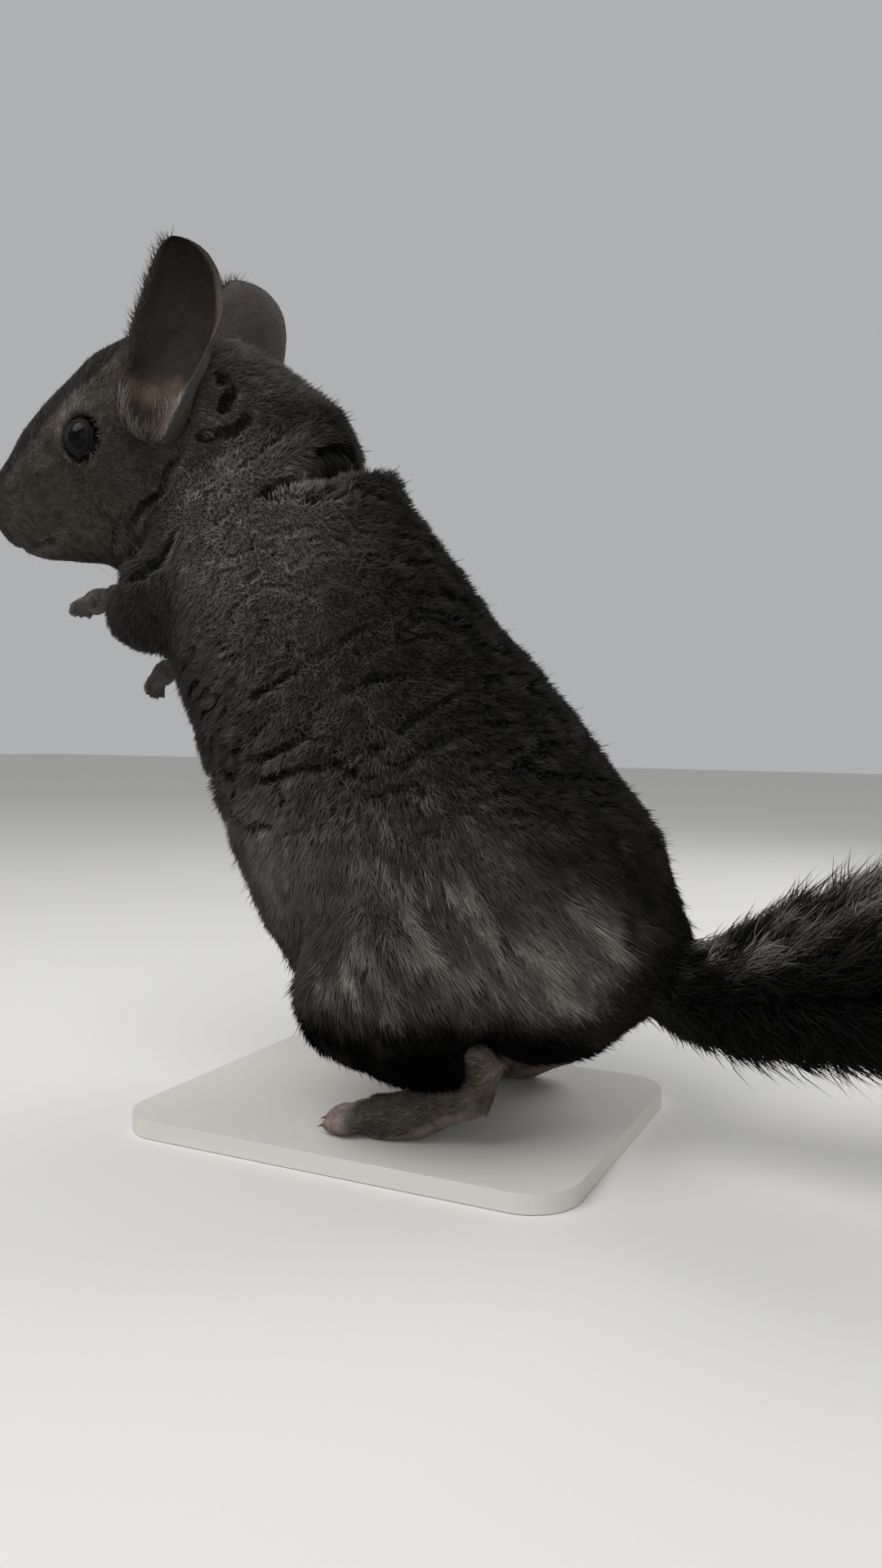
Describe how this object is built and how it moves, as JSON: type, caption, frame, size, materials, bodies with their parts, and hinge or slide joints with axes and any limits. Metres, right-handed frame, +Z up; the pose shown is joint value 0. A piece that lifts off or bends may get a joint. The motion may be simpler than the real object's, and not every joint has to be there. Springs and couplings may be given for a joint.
{
  "type": "chinchilla",
  "caption": "Dark grey chinchilla, life size, standing up on its hind legs with its forepaws held out and its head turned a little to its left, on a thin flat base.",
  "frame": {"origin": "floor level, below the middle of the whole model's box", "axes": "+Z up, the animal faces -Y, its left side is +X, the tail runs towards +Y"},
  "size_m": [0.1192, 0.3282, 0.261],
  "materials": {
    "coat_back": "long soft near-black fur",
    "coat_side": "deep plush charcoal-grey fur",
    "coat_leg": "short grey-brown fur",
    "coat_tail": "coarse long black tail hair",
    "ear_skin": "thin bare skin with fine down",
    "foot_skin": "soft skin with very short hair",
    "nose_skin": "moist skin",
    "eye": "wet glossy black",
    "base_paint": "matt pale paint"
  },
  "bodies": {
    "root": {"rump": "coat_back", "belly": "coat_side", "chest": "coat_side", "neck": "coat_side", "head": "coat_side", "nose": "nose_skin", "eye_left": "eye", "eye_right": "eye", "ear_left": "ear_skin", "ear_right": "ear_skin", "hind_foot_left": "foot_skin", "hind_foot_right": "foot_skin", "hind_leg_left": "coat_side", "hind_leg_right": "coat_side", "foreleg_left": "coat_leg", "foreleg_right": "coat_leg", "forepaw_left": "foot_skin", "forepaw_right": "foot_skin", "tail_root": "coat_tail", "tail_middle": "coat_tail", "tail_tip": "coat_tail", "stand_base": "base_paint"}
  },
  "joints": []
}
